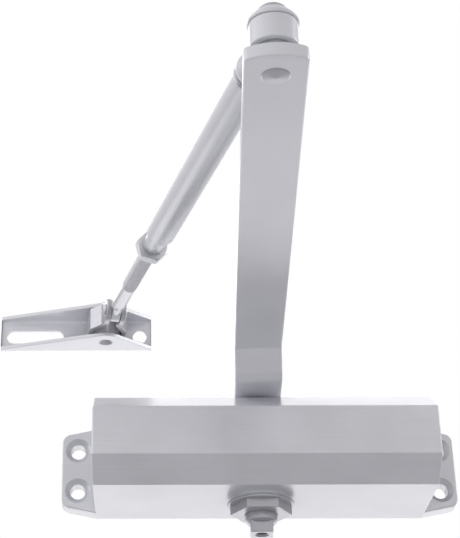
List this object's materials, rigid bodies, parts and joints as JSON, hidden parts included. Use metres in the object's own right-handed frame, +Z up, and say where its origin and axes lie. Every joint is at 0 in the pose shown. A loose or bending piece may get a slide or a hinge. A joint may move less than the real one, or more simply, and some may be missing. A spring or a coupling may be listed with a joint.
{
  "type": "surface-mounted door closer",
  "caption": "Silver surface-mounted door closer: chamfered oil cylinder body with ears, pinion, cranked main arm, adjustable tubular forearm and pivoting foot bracket.",
  "frame": {"origin": "centre of the four mounting holes, on the back face of the body that meets the door", "axes": "+X along the body to the right as seen from the front, +Y into the door, +Z up towards the arm"},
  "size_m": [0.2109, 0.29, 0.1181],
  "materials": {
    "silver_painted_aluminium": "satin silver paint on an aluminium casting",
    "silver_painted_steel": "satin silver paint on steel",
    "zinc_plated_steel": "bright zinc plate",
    "satin_steel": "machined, satin",
    "spring_steel": "oiled spring wire",
    "brass": "machined",
    "black_rubber": "moulded"
  },
  "bodies": {
    "closer_body": {"body_casting": "silver_painted_aluminium", "left_end_plug": "satin_steel", "right_end_plug": "satin_steel", "end_plug_rings": "black_rubber", "upper_bearing": "brass", "lower_bearing": "brass", "upper_seal": "black_rubber", "lower_seal": "black_rubber", "upper_seal_nut": "zinc_plated_steel", "lower_seal_washer": "zinc_plated_steel", "lower_seal_nut": "zinc_plated_steel", "main_spring": "spring_steel"},
    "piston": {"rack_piston": "satin_steel", "check_valve_ball": "satin_steel", "check_valve_ring": "brass"},
    "pinion_and_arm": {"pinion_shaft": "satin_steel", "main_arm": "silver_painted_steel", "arm_washer": "zinc_plated_steel", "arm_screw": "zinc_plated_steel", "elbow_stud": "zinc_plated_steel", "elbow_spacer": "satin_steel", "elbow_cap": "silver_painted_steel", "elbow_cap_screw": "zinc_plated_steel"},
    "forearm": {"forearm_knuckle": "silver_painted_steel", "elbow_bush": "brass", "forearm_tube": "zinc_plated_steel", "threaded_bush": "zinc_plated_steel"},
    "forearm_lock_nut": {"lock_nut": "zinc_plated_steel"},
    "rod": {"adjusting_rod": "zinc_plated_steel"},
    "yoke": {"swivel_yoke": "zinc_plated_steel", "cross_pin": "zinc_plated_steel", "pivot_sleeve": "zinc_plated_steel"},
    "bracket": {"foot_bracket": "silver_painted_steel", "bracket_pivot_pin": "zinc_plated_steel"},
    "closing_valve": {"closing_valve_screw": "brass", "closing_valve_ring": "black_rubber"},
    "latching_valve": {"latching_valve_screw": "brass", "latching_valve_ring": "black_rubber"}
  },
  "joints": [
    {"name": "pinion_turn", "type": "hinge", "parent": "closer_body", "child": "pinion_and_arm", "pos_m": [-0.001, -0.028, 0], "axis": [0, 0, 1], "range_deg": [-165, 0], "stiffness_Nm_per_rad": 1.7, "springref_deg": 57.3},
    {"name": "piston_slide", "type": "slide", "parent": "closer_body", "child": "piston", "axis": [1, 0, 0], "range_m": [-0.019, 0], "deforming": ["main_spring"]},
    {"name": "elbow_pivot", "type": "hinge", "parent": "pinion_and_arm", "child": "forearm", "pos_m": [-0.01039, -0.27822, 0.0495], "axis": [0, 0, 1], "continuous": true},
    {"name": "lock_nut_turn", "type": "hinge", "parent": "forearm", "child": "forearm_lock_nut", "pos_m": [-0.04847, -0.10899, 0.06317], "axis": [-0.2188, 0.9726, 0.0783], "range_deg": [0, 360]},
    {"name": "rod_adjust", "type": "slide", "parent": "forearm", "child": "rod", "axis": [-0.2188, 0.9726, 0.0783], "range_m": [-0.045, 0.02]},
    {"name": "cross_pin_tilt", "type": "hinge", "parent": "rod", "child": "yoke", "pos_m": [-0.06562, -0.03277, 0.0693], "axis": [0.9756, 0.2195, 0], "range_deg": [-45, 45]},
    {"name": "bracket_pivot", "type": "hinge", "parent": "yoke", "child": "bracket", "pos_m": [-0.0704, -0.0115, 0.0714], "axis": [0, 0, 1], "range_deg": [-70, 75]},
    {"name": "closing_valve_turn", "type": "hinge", "parent": "closer_body", "child": "closing_valve", "pos_m": [0.0739, -0.013, 0.0125], "axis": [1, 0, 0], "range_deg": [0, 360]},
    {"name": "latching_valve_turn", "type": "hinge", "parent": "closer_body", "child": "latching_valve", "pos_m": [0.0739, -0.013, -0.0125], "axis": [1, 0, 0], "range_deg": [0, 360]}
  ],
  "couplings": [
    {"joint": "piston_slide", "follows": "pinion_turn", "m_per_rad": 0.0065}
  ]
}
